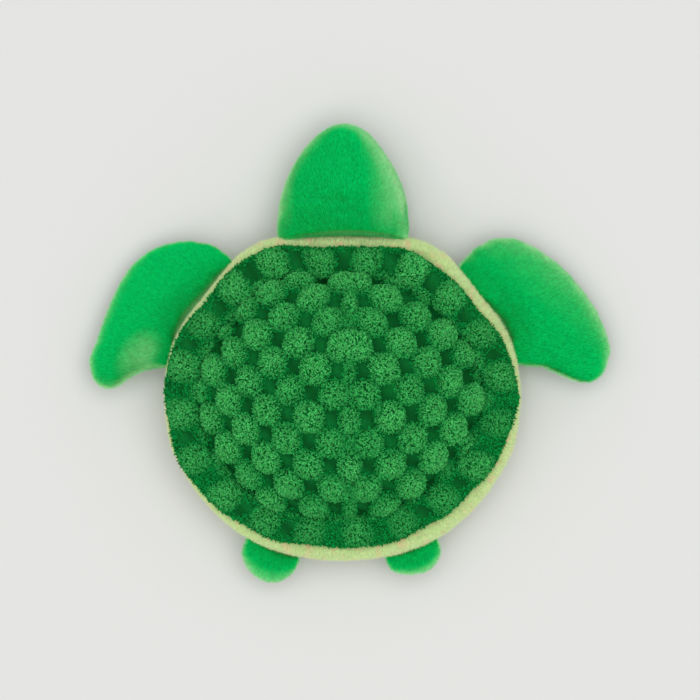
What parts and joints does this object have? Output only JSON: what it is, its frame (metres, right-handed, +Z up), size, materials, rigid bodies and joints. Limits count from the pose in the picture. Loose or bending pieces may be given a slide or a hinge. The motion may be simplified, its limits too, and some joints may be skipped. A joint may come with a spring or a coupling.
{
  "type": "plush turtle",
  "caption": "Stuffed plush turtle with a domed popcorn-pile shell, a pale rim, and a head, front flippers and rear feet that flap about the seams they are sewn into.",
  "frame": {"origin": "middle of the toy's bounding box, on the surface that the belly lies on", "axes": "+X towards the turtle's right flipper, +Y towards the tip of its head, +Z up"},
  "size_m": [0.2304, 0.2026, 0.065],
  "materials": {
    "green_short_plush": "matt, short napped pile",
    "dark_green_popcorn_plush": "matt, raised curly puffs between flat squares",
    "pale_green_short_plush": "matt, short napped pile",
    "polyester_stuffing": "loose white fibre, sealed inside",
    "black_thread": "satin stitched thread"
  },
  "bodies": {
    "body": {"shell_cover": "dark_green_popcorn_plush", "rim_band": "pale_green_short_plush", "belly_panel": "pale_green_short_plush", "body_stuffing": "polyester_stuffing"},
    "head": {"head_top_panel": "green_short_plush", "head_under_panel": "green_short_plush", "head_stuffing": "polyester_stuffing", "left_eye": "black_thread", "right_eye": "black_thread"},
    "left_front_flipper": {"left_front_flipper_upper_panel": "green_short_plush", "left_front_flipper_under_panel": "green_short_plush", "left_front_flipper_stuffing": "polyester_stuffing"},
    "right_front_flipper": {"right_front_flipper_upper_panel": "green_short_plush", "right_front_flipper_under_panel": "green_short_plush", "right_front_flipper_stuffing": "polyester_stuffing"},
    "left_rear_foot": {"left_rear_foot_upper_panel": "green_short_plush", "left_rear_foot_under_panel": "green_short_plush", "left_rear_foot_stuffing": "polyester_stuffing"},
    "right_rear_foot": {"right_rear_foot_upper_panel": "green_short_plush", "right_rear_foot_under_panel": "green_short_plush", "right_rear_foot_stuffing": "polyester_stuffing"}
  },
  "joints": [
    {"name": "head_nod", "type": "hinge", "parent": "body", "child": "head", "pos_m": [-0.00287, 0.06528, 0.02], "axis": [0.9999, -0.014, 0], "range_deg": [-20, 20], "stiffness_Nm_per_rad": 0.3},
    {"name": "left_front_flipper_flap", "type": "hinge", "parent": "body", "child": "left_front_flipper", "pos_m": [-0.07299, 0.0235, 0.01879], "axis": [0.5807, 0.8141, 0], "range_deg": [-30, 55], "stiffness_Nm_per_rad": 0.08},
    {"name": "right_front_flipper_flap", "type": "hinge", "parent": "body", "child": "right_front_flipper", "pos_m": [0.06819, 0.02174, 0.01879], "axis": [0.5373, -0.8434, 0], "range_deg": [-30, 55], "stiffness_Nm_per_rad": 0.08},
    {"name": "left_rear_foot_flap", "type": "hinge", "parent": "body", "child": "left_rear_foot", "pos_m": [-0.03565, -0.09085, 0.01812], "axis": [-0.9636, 0.2672, 0], "range_deg": [-20, 60], "stiffness_Nm_per_rad": 0.05},
    {"name": "right_rear_foot_flap", "type": "hinge", "parent": "body", "child": "right_rear_foot", "pos_m": [0.02869, -0.09087, 0.01812], "axis": [-0.95, -0.3123, 0], "range_deg": [-20, 60], "stiffness_Nm_per_rad": 0.05}
  ]
}
